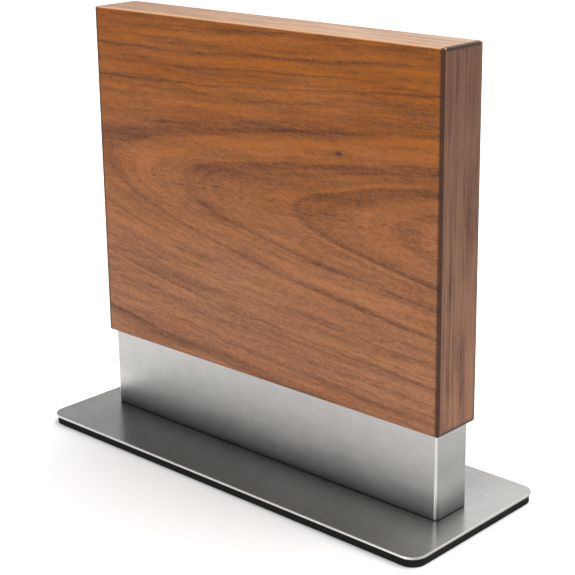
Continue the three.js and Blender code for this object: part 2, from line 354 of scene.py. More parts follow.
def material(name, paint, **fixed):
    """A Principled material: paint(graph) gives its varying sockets, and fixed its uniform ones."""
    made = bpy.data.materials.new(name)
    made.use_nodes = True
    graph = Graph(made.node_tree)
    sockets = {key.replace("_", " ").title().replace("Ior", "IOR"): value for key, value in fixed.items()}
    sockets.update(paint(graph))
    shader = graph.node("ShaderNodeBsdfPrincipled", None, sockets)
    graph.node("ShaderNodeOutputMaterial", None, {"Surface": shader})
    return made


# The closed growth lines of a leaf: how far along the board each parabola's apex lies, and its width
APEXES = (13, 80, 182)
WIDTHS = (12.3, 8.0, 7.4)
INNERMOST_LENGTH = 105

# The parabolas' axis: how far down the board it runs, how much higher it lies at the board's end, and the
# length over which that bend dies away
AXIS_DOWN = 107
AXIS_BEND = 9
BEND_LENGTH = 60

# The open lines outside them: the distance that q falls by 1 over, and how far from the first apex it holds
OPEN_PITCH = 10
OPEN_REACH = 270

# Where the ramps of the closed and the open lines start before q = 0, and what range of q they span
CLOSED_RANGE = (1, 4)
OPEN_RANGE = (8, 8)

# Growth lines as (q, darkness, width of the dark outside, width of the dark inside)
CLOSED_UPPER = [(-0.12, 0.38, 0.75, 0.2), (0.98, 0.34, 0.06, 0.75), (1.96, 0.36, 0.12, 0.5)]
CLOSED_GLOW = [(0.25, 0.13, 0.3, 0.65)]
CLOSED_LOWER = [(-0.05, 0.31, 0.12, 0.12), (0.98, 0.34, 0.09, 0.2), (1.97, 0.38, 0.1, 0.2)]
OPEN_UPPER = [
    (-6.3, 0.14, 0.1, 0.2), (-5.3, 0.22, 0.1, 0.3), (-4.6, 0.14, 0.06, 0.1), (-3.9, 0.24, 0.2, 0.3),
    (-3.1, 0.16, 0.06, 0.1), (-2.3, 0.36, 0.07, 0.12), (-1.7, 0.12, 0.3, 0.2),
]
OPEN_LOWER = [
    (-6.4, 0.26, 0.5, 0.6), (-5.3, 0.12, 0.1, 0.2), (-4.2, 0.18, 0.08, 0.3), (-3.1, 0.2, 0.08, 0.3),
    (-2.3, 0.12, 0.06, 0.1), (-1.75, 0.18, 0.07, 0.15), (-0.9, 0.12, 0.06, 0.1),
]


def drawn_lines(position, lines, reach):
    """Growth lines that fade to both sides, from a ramp over their range of q."""
    start, span = reach
    stops = [(0.0, 0.0)]
    for q, dark, outside, inside in lines:
        for place, value in ((q - outside, 0.0), (q, dark), (q + inside, 0.0)):
            stop = (place + start) / span
            if stop > stops[-1][0]:
                stops.append((stop, value))
    return position.ramp(stops)


def cathedral(graph, along, down, seed):
    """Growth lines of a flat-sawn board, from 0, light, to 1, dark.

    The lines are level curves of nested parabolas that open along the board from a bent axis. A point lies
    inside one where its distance along from the apex is more than its distance from the axis, squared, over
    the width. q is 0 on the outermost closed line, 1 and 2 on the next two, and falls by 1 for each pitch
    outside them.
    """
    drift = graph.noise(along / 75, down / 30, seed, detail=2) - 0.5
    shiver = graph.noise(along / 18, down / 6, seed + 3, detail=3) - 0.5
    feather = graph.noise(along / 10, down / 0.8, seed + 5, detail=2) - 0.5
    u = along + drift * 8 + feather * 7
    v = down + drift * 5 + shiver * 2.6 + feather * 1.0
    offset = v - AXIS_DOWN + AXIS_BEND * (along * (-1 / BEND_LENGTH)).exp()
    width2 = offset * offset
    first, second, third = [u - width2 / width - apex for apex, width in zip(APEXES, WIDTHS)]
    spread = (WIDTHS[0] * (OPEN_REACH - first.least(0))).root() - (WIDTHS[0] * OPEN_REACH) ** 0.5
    q = (
        (first / (first - second)).clamped()
        + (second / (second - third)).clamped()
        + (third / INNERMOST_LENGTH).clamped()
        - spread / OPEN_PITCH
    )
    outer, inner = [(q + start) / span for start, span in (OPEN_RANGE, CLOSED_RANGE)]
    side = offset.step(-3, 3)
    above = drawn_lines(outer, OPEN_UPPER, OPEN_RANGE) + drawn_lines(inner, CLOSED_UPPER, CLOSED_RANGE)
    below = drawn_lines(outer, OPEN_LOWER, OPEN_RANGE) + drawn_lines(inner, CLOSED_LOWER, CLOSED_RANGE)
    line = above + (below - above) * side
    drawn = 0.75 + 0.9 * graph.noise(along / 45, down / 9, seed + 7, detail=3)
    stripes = graph.noise(along / 150, q * 4.2, seed + 11, detail=5, roughness=0.72) - 0.5
    bands = graph.noise(along / 110, v / 7, seed + 19, detail=4, roughness=0.7) - 0.5
    glow = drawn_lines(inner, CLOSED_GLOW, CLOSED_RANGE) * (1 - side * 0.6)
    near_axis = (width2 / -90).exp()
    flecks = graph.noise(along / 8, down / 0.7, seed + 23, detail=1).step(0.58, 0.72) * near_axis
    drawn = drawn * (1 - 0.4 * near_axis)
    banded = 1.9 - 0.9 * down.step(20, 80)
    return 0.28 + line * drawn - glow + stripes * 1.25 + bands * banded + flecks * 0.55


def straight(graph, along, across, seed):
    """Growth lines of a strip sawn along the grain, from 0, light, to 1, dark."""
    drift = graph.noise(along / 90, across / 14, seed, detail=2) - 0.5
    bands = graph.noise(along / 150, (across + drift * 4) / 3.6, seed + 5, detail=4, roughness=0.7)
    patches = graph.noise(along / 40, (across + drift * 6) / 8, seed + 9, detail=2)
    return (bands - 0.5) * 4.0 + (patches - 0.5) * 1.5 + 0.3


def walnut(name, to_grain, pattern, tones, seed, blend, ends, knot=None, rim=None):
    """Oiled walnut. to_grain turns x, y, z in millimetres into along, across and deep.

    tones are the colours from first to last, of the growth lines and of end grain. blend is 0 to run from
    first to last along the grain, or 1 across it. ends is an axis, the slab's middle along it, and how far
    from there the rounding to the slab's end starts: a painted shade is darkest on the rounding, and end
    grain lies beyond it. knot is where a pin knot lies. rim is the colour of a painted highlight along a
    leaf's upper edge, and is only given for a leaf, whose painted shade covers its whole rounding.
    """
    first, last, dark, end = [colour(tone) for tone in tones]

    def paint(graph):
        place = graph.place()
        grain = to_grain(*place)
        along, across, deep = grain
        lines = pattern(graph, along, across, seed)
        fibres = graph.noise(along / 14, across / 0.8, deep / 0.9 + seed, detail=4, roughness=0.7) - 0.5
        grit = graph.noise(along / 2.2, across / 0.9, deep / 0.8 + seed, detail=2, roughness=0.6) - 0.5
        pores = graph.noise(along / 5.5, across / 0.36, deep / 0.35 + seed, detail=1).step(0.6, 0.74)
        ripple = graph.noise((along + across * 0.9) / 7, (across - along * 0.5) / 2.6, seed, detail=3) - 0.5
        drift = graph.noise(along / 80, across / 30, seed + 13, detail=3) - 0.5
        shade = lines + fibres * 0.85 + grit * 0.8 + ripple * 0.45
        if knot:
            near = ((along - knot[0]) / 1.5) ** 2 + ((across - knot[1]) / 1.0) ** 2
            shade = shade + 0.9 * (near * -1).exp() + 0.3 * (near / -10).exp()
        # From the first tone to the last; on the leaves the paler, pinker last tone is partly a painted
        # sheen
        body = graph.mix((grain[blend].step(10, 215) + drift * 0.8).clamped(), first, last)
        wood = graph.mix(shade.clamped(), body, dark)
        wood = graph.mix(pores * 0.4, wood, dark)
        axis, middle, reach = ends
        beyond = abs(place[axis] - middle) - reach
        wood = graph.mix(beyond.step(1.2, 1.4) * 0.8, wood, end)
        past = beyond.step(1.1, 1.4)
        # On a leaf the painted shade covers the whole rounding, and a painted highlight in the rim colour
        # runs along its upper edge
        if rim:
            past = (SLAB_FACE / MM - abs(place[1])).step(1.4, 2.0)
            wood = graph.mix((place[2] - SLAB_TOP / MM).step(-1.1, -0.4) * 0.9, wood, colour(rim))
        # Painted shade on the rounded edge, fading onto the face
        edge_shaded = beyond.step(-1.6, 0.2) * (1 - past)
        wood = graph.mix(edge_shaded * 0.85, wood, EDGE_SHADE)
        height = 0.5 * fibres + 0.3 * grit - 0.6 * pores - 0.2 * lines
        return {
            "Base Color": wood,
            "Roughness": 0.46 + 0.14 * fibres + 0.15 * pores,
            "Normal": graph.bump(height, 0.06 * MM, 0.7),
        }

    return material(name, paint, specular_ior_level=0.13)


def brushed(name, tone, grain, roughness, light_and_shade):
    """Brushed stainless steel. grain turns x, y, z in millimetres into along and across the brush lines.

    Its last argument, called with x, y, z, gives a factor for the tone: painted highlights and painted
    shade.
    """

    def paint(graph):
        x, y, z = graph.place()
        along, across = grain(x, y, z)
        lines = graph.noise(along / 30, across / 0.3, 0.0, detail=2, roughness=0.6)
        broad = graph.noise(along / 40, across / 1.1, 4.0, detail=3, roughness=0.6)
        cloud = graph.noise(x / 40, (y + z) / 14, 9.0, detail=2)
        mottle = graph.noise(x / 9, y / 9, z / 9, detail=4, roughness=0.6)
        shade = 0.62 + 0.1 * lines + 0.32 * broad + 0.1 * cloud + 0.2 * mottle
        return {
            # The tone is multiplied by painted light and shade
            "Base Color": graph.tinted(tone, shade * light_and_shade(x, y, z)),
            "Roughness": roughness + 0.08 * (broad - 0.5) + 0.05 * (cloud - 0.5),
            "Normal": graph.bump(0.5 * lines + broad, 0.03 * MM, 0.35),
        }

    return material(name, paint, metallic=1.0)


def polished(name, tone):
    """Polished sheet edge: bright steel with faint drag marks along it, and painted shade on the two short
    sides.
    """

    def paint(graph):
        x, y, z = graph.place()
        marks = graph.noise((x + y) / 9, z / 0.12, 2.0, detail=3)
        # Painted shade: the edge is darker on the plate's two short sides
        short = (abs(x) - PLATE[1][0] / MM).step(-9, -1.5)
        return {
            "Base Color": graph.tinted(tone, (0.94 + 0.12 * marks) * (1 - 0.62 * short)),
            "Roughness": 0.14 + 0.12 * marks,
            "Normal": graph.bump(marks, 0.01 * MM, 0.3),
        }

    return material(name, paint, metallic=1.0)


def plated(name, tone, roughness):
    """A plated or turned metal piece with faint handling marks."""

    def paint(graph):
        x, y, z = graph.place()
        cloud = graph.noise(x / 4, y / 4, z / 4, detail=4)
        grit = graph.noise(x / 0.4, y / 0.4, z / 0.4, detail=2)
        return {
            "Base Color": graph.tinted(tone, 0.85 + 0.3 * cloud),
            "Roughness": roughness + 0.2 * (cloud - 0.5) + 0.1 * (grit - 0.5),
            "Normal": graph.bump(grit, 0.01 * MM, 0.3),
        }

    return material(name, paint, metallic=1.0)


def rubber(name, tone):
    """Matt black rubber with a fine grain and a little dust."""

    def paint(graph):
        x, y, z = graph.place()
        grain = graph.noise(x / 0.35, y / 0.35, z / 0.35, detail=3)
        dust = graph.noise(x / 9, y / 9, z / 3, detail=4).step(0.45, 0.8)
        return {
            "Base Color": graph.mix(dust * 0.08, colour(tone), DUST),
            "Roughness": 0.72 + 0.2 * grain,
            "Normal": graph.bump(grain, 0.06 * MM, 0.6),
        }

    return material(name, paint, specular_ior_level=0.08)


def sawn(name):
    """The plain core board: pale sawn wood with fine fibres."""

    def paint(graph):
        x, y, z = graph.place()
        bands = graph.noise(x / 110, z / 4, y / 4, detail=4)
        fibres = graph.noise(x / 12, z / 0.5, y / 0.5, detail=3)
        wood = graph.mix(bands, CORE_PALE, CORE_BROWN)
        return {
            "Base Color": graph.mix(fibres * 0.5, wood, CORE_FIBRE),
            "Roughness": 0.68 + 0.2 * fibres,
            "Normal": graph.bump(fibres, 0.08 * MM, 0.7),
        }

    return material(name, paint)


# ---------------------------------------------------------------------------------------------
# Shapes
# ---------------------------------------------------------------------------------------------

def grid_faces(rows, columns, close_rows=False):
    """Quads between rows of points; each row closes on itself, and the last row may join the first."""
    row = np.arange(rows if close_rows else rows - 1)[:, None]
    column = np.arange(columns)[None, :]
    below = row % rows * columns
    above = (row + 1) % rows * columns
    following = (column + 1) % columns
    quads = np.stack([below + column, below + following, above + following, above + column], axis=-1)
    return quads.reshape(-1, 4)


def fan_faces(ring, pole, turned):
    """Triangles between a ring's point numbers and one pole."""
    following = np.roll(ring, -1)
    pair = (following, ring) if turned else (ring, following)
    return np.stack([*pair, np.full(len(ring), pole)], axis=-1)


def make_piece(name, points, faces, finish, node_names, extra_finish=None, extra_test=None):
    """A new piece from points and faces: doubles merged, rounds smooth, riding on the root body.

    extra_finish goes on the faces whose normals pass extra_test.
    """
    mesh = bpy.data.meshes.new(name)
    mesh.from_pydata(points.tolist(), [], [face for group in faces for face in group.tolist()])
    tidy = bmesh.new()
    tidy.from_mesh(mesh)
    bmesh.ops.remove_doubles(tidy, verts=tidy.verts, dist=MERGE_DISTANCE)
    bmesh.ops.dissolve_degenerate(tidy, edges=tidy.edges, dist=MERGE_DISTANCE)
    bmesh.ops.recalc_face_normals(tidy, faces=tidy.faces)
    tidy.to_mesh(mesh)
    tidy.free()
    mesh.materials.append(finish)
    mesh.shade_smooth()
    mesh.set_sharp_from_angle(angle=SHARP_ANGLE)
    if extra_finish:
        mesh.materials.append(extra_finish)
        normals = np.empty(3 * len(mesh.polygons))
        mesh.polygons.foreach_get("normal", normals)
        mesh.polygons.foreach_set("material_index", extra_test(normals.reshape(-1, 3)).astype(np.int32))
    piece = bpy.data.objects.new(name, mesh)
    bpy.context.scene.collection.objects.link(piece)
    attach(piece, ROOT)
    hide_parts(*node_names)


def rounded_ring(half_x, half_y, radius, steps=12):
    """Points round a rectangle with round corners, anticlockwise.

    Each corner is a quarter circle about a centre a radius inside both sides.
    """
    turn = np.linspace(0, math.pi / 2, steps + 1)
    points = []
    for quarter, (side_x, side_y) in enumerate(((1, 1), (-1, 1), (-1, -1), (1, -1))):
        angle = turn + quarter * math.pi / 2
        direction = np.stack([np.cos(angle), np.sin(angle)], axis=-1)
        centre = np.array([side_x * (half_x - radius), side_y * (half_y - radius)])
        points.append(centre + radius * direction)
    return np.concatenate(points)


def quarter_round(radius, steps=8):
    """(inset, rise) along a quarter circle from a side's tangent to a face's tangent."""
    turn = np.linspace(0, math.pi / 2, steps + 1)
    return radius * (1 - np.cos(turn)), radius * np.sin(turn)


def level(ring, height):
    """A flat ring's points, all at one height."""
    return np.column_stack([ring, np.full(len(ring), height)])


def carried(half_x, half_y, radius, profile):
    """A profile of (inset, height) pairs carried round a rounded rectangle, as rows of (x, y, height)."""
    return np.array([
        level(rounded_ring(half_x - inset, half_y - inset, max(radius - inset, 0.0)), height)
        for inset, height in profile
    ])


def capped(rows):
    """Points and faces of stacked rings, closed at both ends by a fan to the end ring's middle."""
    count, columns, _ = rows.shape
    points = np.concatenate([rows.reshape(-1, 3), [rows[0].mean(axis=0)], [rows[-1].mean(axis=0)]])
    first = np.arange(columns)
    last = first + (count - 1) * columns
    low, high = count * columns, count * columns + 1
    return points, [grid_faces(count, columns), fan_faces(first, low, True), fan_faces(last, high, False)]


def leaf_shape(side, sizes):
    """A walnut leaf: a rounded rectangle whose outer edge turns over in a quarter circle.

    A narrow flat border lies inside the edge on both faces. side is 1 for the front and -1 for the rear.
    """
    radius = sizes.slab_round
    height = SLAB_TOP - SLAB_BOTTOM
    back_border, face_border = 0.4 * MM, 0.3 * MM
    inset, rise = quarter_round(radius)
    depths = [(back_border, LEAF_BACK), (0.0, LEAF_BACK)]
    depths += [(i, -SLAB_FACE + radius - r) for i, r in zip(inset, rise)]
    depths.append((radius + face_border, -SLAB_FACE))
    rows = carried(SLAB_HALF, height / 2, radius, depths)
    x, z, y = rows[..., 0], rows[..., 1] + SLAB_MIDDLE, rows[..., 2]
    rows = np.stack([x, y * side, z], axis=-1)
    return capped(rows)


def strip_outline(half_long, half_short, radius, steps=8):
    """One mitred edge strip, the upper one, seen along the slab's depth.

    From the inner edge it follows the 45 degree mitre out to the slab's round corner, half of each corner's
    arc, and the straight outer edge between the arcs.
    """
    inner = half_short - STRIP_THICKNESS
    inner_end = half_long - STRIP_THICKNESS
    turn = np.linspace(math.pi / 4, math.pi / 2, steps + 1)
    arc = np.stack([
        half_long - radius + radius * np.cos(turn),
        half_short - radius + radius * np.sin(turn),
    ], axis=-1)
    mirrored = arc[::-1] * [-1, 1]
    return np.concatenate([[[-inner_end, inner], [inner_end, inner]], arc, mirrored])


def strip_shape(quarter_turns, sizes):
    """A mitred strip: the upper one's outline in quarter turns, carried through the slab's depth."""
    half_height = (SLAB_TOP - SLAB_BOTTOM) / 2
    upright = quarter_turns % 2
    long, short = (half_height, SLAB_HALF) if upright else (SLAB_HALF, half_height)
    outline = strip_outline(long, short, sizes.slab_round)
    angle = quarter_turns * math.pi / 2
    cosine, sine = round(math.cos(angle)), round(math.sin(angle))
    x = outline[:, 0] * cosine - outline[:, 1] * sine
    z = outline[:, 0] * sine + outline[:, 1] * cosine + SLAB_MIDDLE
    rows = np.array([np.column_stack([x, np.full(len(x), y), z]) for y in (LEAF_BACK, -LEAF_BACK)])
    return capped(rows)


def neck_shape(sizes):
    """The neck: a profile up the outside, over the rim, down the inside and back, all round the corners."""
    half_x, half_y = NECK[1][0], NECK[1][1]
    low, high = NECK[0][2], NECK[1][2]
    wall = sizes.neck_wall
    lip = 0.25 * MM
    profile = [
        (lip, low), (0, low + lip), (0, low + 3 * lip), (0, high - 3 * lip), (0, high - lip), (lip, high),
        (wall - lip, high), (wall, high - lip), (wall, low + lip), (wall - lip, low),
    ]
    rows = carried(half_x, half_y, sizes.neck_corner, profile)
    return rows.reshape(-1, 3), [grid_faces(len(rows), rows.shape[1], close_rows=True)]


def ray_to_outline(centre_x, angle, half_x, half_y, radius, low_x, high_x):
    """Where rays from (centre_x, 0) leave a rounded rectangle that is cut off at low_x and high_x.

    A ray's reach is the lesser of those to the upright and the level side it faces, or else, in a corner,
    the one to the corner's circle, by the half chord from the foot of the circle's middle on the ray.
    """
    cosine, sine = np.cos(angle), np.sin(angle)
    to_side = np.where(cosine > 0, high_x - centre_x, low_x - centre_x)
    reach_x = to_side / np.where(np.abs(cosine) < TINY, TINY, cosine)
    reach_y = half_y / np.maximum(np.abs(sine), TINY)
    reach = np.minimum(np.abs(reach_x), reach_y)
    x, y = centre_x + reach * cosine, reach * sine
    corner_x = np.sign(x) * (half_x - radius)
    corner_y = np.sign(y) * (half_y - radius)
    in_corner = (np.abs(x) > half_x - radius) & (np.abs(y) > half_y - radius)
    to_middle = (corner_x - centre_x) * cosine + corner_y * sine
    miss2 = (corner_x - centre_x) ** 2 + corner_y**2 - to_middle**2
    arc_reach = to_middle + np.sqrt(np.maximum(radius**2 - miss2, 0))
    reach = np.where(in_corner, arc_reach, reach)
    return np.column_stack([centre_x + reach * cosine, reach * sine])


def outward_of(points, half_x, half_y, radius):
    """Outward directions of points on a rounded rectangle: straight out on the sides, radial on corners."""
    beyond = np.maximum(np.abs(points) - [half_x - radius, half_y - radius], 0)
    direction = beyond * np.sign(points)
    return direction / np.linalg.norm(direction, axis=1, keepdims=True)


def pierced_sheet(box, corner, low_edge, high_edge, hole_radius):
    """A sheet with round corners, rounded rims and a round hole at each bolt.

    Each flat face is made of one cell a hole: rays from the hole's middle cross from its circle to the
    cell's boundary, with a narrow collar round the circle. The rim is the outer boundary, which lies hold
    inside the sheet's outline, carried out and over by quarter circles.
    """
    half_x, half_y = box[1][0], box[1][1]
    low, high = box[0][2], box[1][2]
    hold = max(low_edge, high_edge) + 0.2 * MM
    collar, hair = 0.04, 0.0001 * MM
    in_x, in_y, in_radius = half_x - hold, half_y - hold, corner - hold
    centres = sorted(axis_x(f"tie_bolt_{place}") for place in BOLT_PLACES)
    cuts = [-in_x, *[(a + b) / 2 for a, b in zip(centres, centres[1:])], in_x]
    angles = cell_angles(centres, cuts, in_x, in_y, in_radius)
    points, faces, rim, start = [], [], [], 0
    for centre_x, low_x, high_x in zip(centres, cuts, cuts[1:]):
        edge = ray_to_outline(centre_x, angles, in_x, in_y, in_radius, low_x, high_x)
        circle = np.column_stack([centre_x + hole_radius * np.cos(angles), hole_radius * np.sin(angles)])
        near = circle + (edge - circle) * collar
        stack = [(edge, high), (near, high), (circle, high), (circle, low), (near, low), (edge, low)]
        rows = np.array([level(ring, z) for ring, z in stack])
        points.append(rows.reshape(-1, 3))
        faces.append(grid_faces(len(rows), len(angles)) + start)
        start += len(points[-1])
        on_cut = (np.abs(edge[:, 0]) < in_x - hair) & (np.abs(edge[:, 1]) < in_y - hair)
        on_corner = (np.abs(edge[:, 0]) > in_x - in_radius) & (np.abs(edge[:, 1]) > in_y - in_radius)
        rim.append(edge[~on_cut | on_corner])
    rim = np.unique(np.round(np.concatenate(rim), DIGITS), axis=0)
    rim = rim[np.argsort(np.arctan2(rim[:, 1], rim[:, 0]))]
    outward = outward_of(rim, in_x, in_y, in_radius)
    profile = [(0.0, low)]
    inset, rise = quarter_round(low_edge, 4)
    profile += [(hold - i, low + low_edge - r) for i, r in zip(inset[::-1], rise[::-1])]
    inset, rise = quarter_round(high_edge, 6)
    profile += [(hold - i, high - high_edge + r) for i, r in zip(inset, rise)]
    profile.append((0.0, high))
    rows = np.array([level(rim + out * outward, z) for out, z in profile])
    points.append(rows.reshape(-1, 3))
    faces.append(grid_faces(len(rows), len(rim)) + start)
    return np.concatenate(points), faces


def cell_angles(centres, cuts, half_x, half_y, radius, steps=96, corner_steps=12):
    """Ray directions that hit every cell's corners and arc ends, the same on both sides of each cut."""
    angles = list(np.linspace(0, 2 * math.pi, steps, endpoint=False))
    for centre_x, low_x, high_x in zip(centres, cuts, cuts[1:]):
        for x in (low_x, high_x):
            marks = [(x - centre_x, half_y)]
            if abs(x) > half_x - radius:
                turn = np.linspace(0, math.pi / 2, corner_steps + 1)
                arc_x = abs(x) - radius + radius * np.cos(turn) - abs(centre_x)
                marks = zip(arc_x, half_y - radius + radius * np.sin(turn))
            for across, up in marks:
                angle = math.atan2(up, across)
                angles += [angle, math.pi - angle, math.pi + angle, 2 * math.pi - angle]
    angles = np.sort(np.mod(np.round(angles, DIGITS), round(2 * math.pi, DIGITS)))
    return angles[np.insert(np.diff(angles) > ONE_DIRECTION, 0, True)]


def axis_x(node):
    """Where the upright axis through the middle of a frame node's box stands along X."""
    low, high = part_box(node)
    return (low[0] + high[0]) / 2


def lathed(node, profile, steps):
    """Rows of points from (radius, height) pairs turned about a node's upright axis.

    A radius is one number, or an array with one for each step of the turn.
    """
    turn = np.linspace(0, 2 * math.pi, steps, endpoint=False)
    return np.array([
        level(np.column_stack([axis_x(node) + radius * np.cos(turn), radius * np.sin(turn)]), height)
        for radius, height in profile
    ])


def bolt_shape(node, steps=72):
    """A bolt from below: hexagon socket, low head, plain shank and a thread.

    The radius is a function of height and turn: a hexagon's across-flats radius over the cosine of the
    turn from the nearest flat in the socket, and on the thread a triangle wave of height less turn.
    """
    low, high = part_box(node)
    start, end = low[2], high[2]
    head = (high[0] - low[0]) / 2
    bevel, ease, tip = 0.4 * MM, 0.1 * MM, 0.8 * MM
    thread_start = end - THREAD_LENGTH
    turn = np.linspace(0, 2 * math.pi, steps, endpoint=False)
    hexagon = SOCKET_RADIUS / np.cos(np.mod(turn + math.pi / 6, math.pi / 3) - math.pi / 6)
    profile = [
        (hexagon * 0.5, start + SOCKET_DEPTH), (hexagon, start + SOCKET_DEPTH), (hexagon, start + ease),
        (hexagon + ease, start), (head - bevel, start), (head, start + bevel),
        (head, start + HEAD_HEIGHT - ease), (head - ease, start + HEAD_HEIGHT),
        (SHANK_RADIUS, start + HEAD_HEIGHT), (SHANK_RADIUS, thread_start),
    ]
    for height in np.arange(thread_start + ease, end - tip, THREAD_PITCH / 8):
        turns = (height - thread_start) / THREAD_PITCH
        wave = 1 - np.abs(2 * np.mod(turns - turn / (2 * math.pi), 1) - 1)
        profile.append((SHANK_RADIUS - THREAD_DEPTH * wave * min(1, turns), height))
    profile += [(SHANK_RADIUS - THREAD_DEPTH, end - tip + ease), (SHANK_RADIUS - tip, end)]
    return capped(lathed(node, profile, steps))


def washer_shape(node, steps=72):
    """A washer: a small chamfered profile carried round its axis."""
    low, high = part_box(node)
    outer = (high[0] - low[0]) / 2
    ease = 0.12 * MM
    profile = [
        (BOLT_HOLE_RADIUS, low[2]), (outer - ease, low[2]), (outer, low[2] + ease),
        (outer, high[2] - ease), (outer - ease, high[2]), (BOLT_HOLE_RADIUS, high[2]),
    ]
    rows = lathed(node, profile, steps)
    return rows.reshape(-1, 3), [grid_faces(len(rows), steps, close_rows=True)]


# ---------------------------------------------------------------------------------------------
# Operators
# ---------------------------------------------------------------------------------------------

def front_grain(x, y, z):
    """Along the slab from its left end, and down from its top edge."""
    return x + SLAB_HALF / MM, SLAB_TOP / MM - z, y


def rear_grain(x, y, z):
    """Along the slab from its right end, and up from its underside, to another cut of the same log."""
    return (SLAB_HALF / MM - x) * 0.8 + 30, (z - SLAB_BOTTOM / MM) * 1.1 - 14, y


def lengthways_grain(x, y, z):
    """Along the slab from its left end, and through its depth."""
    return x + SLAB_HALF / MM, y, z


def upright_grain(x, y, z):
    """Down from the slab's top, and through its depth."""
    return SLAB_TOP / MM - z, y, x


def sizes_and_tones(context):
    """The sizes and colours that the scene holds."""
    return context.scene.knife_block_sizes, context.scene.knife_block_colours


def darkened(tone, shade):
    """A colour setting times a shade from 0 to 1."""
    return [part * shade for part in tone]


class KNIFEBLOCK_OT_leaves(bpy.types.Operator):
    """Make the front and rear walnut leaves"""

    bl_idname = "knifeblock.leaves"
    bl_label = "Walnut Leaves"

    def execute(self, context):
        sizes, tones = sizes_and_tones(context)
        end = darkened(tones.walnut_end, END_GRAIN_SHADE)
        walnuts = (tones.walnut_warm, tones.walnut_pale_and_sheen, tones.walnut_dark, end)
        ends = (0, 0.0, (SLAB_HALF - sizes.slab_round) / MM)
        for name, side, grain, seed, knot in (
            ("front", 1, front_grain, 2.0, (211, 68)),
            ("rear", -1, rear_grain, 31.0, (96, 150)),
        ):
            points, faces = leaf_shape(side, sizes)
            finish = walnut(
                f"walnut_{name}", grain, cathedral, walnuts, seed, 1, ends, knot, tones.walnut_rim_highlight
            )
            make_piece(f"{name}_leaf_board", points, faces, finish, [f"{name}_leaf"])
        return {"FINISHED"}


class KNIFEBLOCK_OT_strips(bpy.types.Operator):
    """Make the four mitred edge strips"""

    bl_idname = "knifeblock.strips"
    bl_label = "Edge Strips"

    def execute(self, context):
        sizes, tones = sizes_and_tones(context)
        length_ends = (0, 0.0, (SLAB_HALF - sizes.slab_round) / MM)
        upright_ends = (2, SLAB_MIDDLE / MM, ((SLAB_TOP - SLAB_BOTTOM) / 2 - sizes.slab_round) / MM)
        # top is the long strips' tone, partly painted light for the brightly lit top face
        top, dark = tones.walnut_long_and_lit, tones.walnut_dark
        end = tones.walnut_end
        left_end = darkened(top, LEFT_END_SHADE)
        upper_end = darkened(end, UPPER_END_SHADE)
        soft = [(light + deep) / 2 for light, deep in zip(top, dark)]
        long_tones = (left_end, top, soft, end)
        upright_tones = (upper_end, end, dark, end)
        lengthways = walnut(
            "walnut_lengthways", lengthways_grain, straight, long_tones, 5.0, 0, length_ends
        )
        upright = walnut("walnut_upright", upright_grain, straight, upright_tones, 17.0, 0, upright_ends)
        for turns, name in enumerate(("top", "left", "bottom", "right")):
            points, faces = strip_shape(turns, sizes)
            finish = upright if turns % 2 else lengthways
            make_piece(f"{name}_strip_board", points, faces, finish, [f"{name}_edge_strip"])
        return {"FINISHED"}


def neck_painted_light(x, y, z):
    """Painted light and shade: highlights on the bends, shade on the short sides and at the foot, a
    highlight band above.
    """
    beside = abs(x) - NECK[1][0] / MM
    before = abs(y) - NECK[1][1] / MM
    height = z - NECK[0][2] / MM
    # Painted highlight along the upright bends
    bend = beside.step(-2.1, -1.8) * before.step(-0.6, -0.35)
    # Painted shade on the short sides, less of it higher up
    short = beside.step(-0.9, -0.3)
    # Painted shade at the foot, and a painted highlight band above it
    foot_shade = 0.80 * (height / -7).exp()
    band_highlight = 0.26 * (((height - 17) / 10) ** 2 * -1).exp()
    face = 1.05 - foot_shade + band_highlight
    return face * (1 - short * (0.68 - height * 0.0062)) + 0.24 * bend


class KNIFEBLOCK_OT_neck(bpy.types.Operator):
    """Make the brushed neck"""

    bl_idname = "knifeblock.neck"
    bl_label = "Neck"

    def execute(self, context):
        sizes, tones = sizes_and_tones(context)
        points, faces = neck_shape(sizes)
        # The neck's tone carries painted highlights and painted shade
        finish = brushed("brushed_neck", tones.steel, lambda x, y, z: (x + y, z), 0.36, neck_painted_light)
        make_piece("neck_sheet", points, faces, finish, ["neck_shell"])
        return {"FINISHED"}


def plate_painted_shade(x, y, z):
    """Painted shade: the plate is darker along the neck and brighter at its two ends."""
    return 0.8 + 0.2 * (abs(x) - PLATE[1][0] / MM).step(-42, -10)


class KNIFEBLOCK_OT_plate(bpy.types.Operator):
    """Make the brushed base plate with its polished edge"""

    bl_idname = "knifeblock.plate"
    bl_label = "Base Plate"

    def execute(self, context):
        sizes, tones = sizes_and_tones(context)
        points, faces = pierced_sheet(
            PLATE, sizes.plate_corner, PLATE_LOW_EDGE, sizes.plate_edge, BOLT_HOLE_RADIUS
        )
        # The plate's tone carries painted shade along the neck
        finish = brushed("brushed_plate", tones.steel, lambda x, y, z: (x, y), 0.24, plate_painted_shade)
        edge = polished("polished_edge", tones.steel_edge_highlight)
        make_piece(
            "base_sheet", points, faces, finish, ["base_plate"],
            edge, lambda normals: np.abs(normals[:, 2]) < LEVEL_NORMAL,
        )
        return {"FINISHED"}


class KNIFEBLOCK_OT_mat(bpy.types.Operator):
    """Make the rubber mat"""

    bl_idname = "knifeblock.mat"
    bl_label = "Rubber Mat"

    def execute(self, context):
        sizes, tones = sizes_and_tones(context)
        corner = sizes.plate_corner - (PLATE[1][0] - MAT[1][0])
        points, faces = pierced_sheet(MAT, corner, sizes.mat_edge, sizes.mat_edge, MAT_HOLE_RADIUS)
        finish = rubber("rubber", tones.rubber)
        make_piece("rubber_mat", points, faces, finish, ["non_slip_mat"])
        return {"FINISHED"}


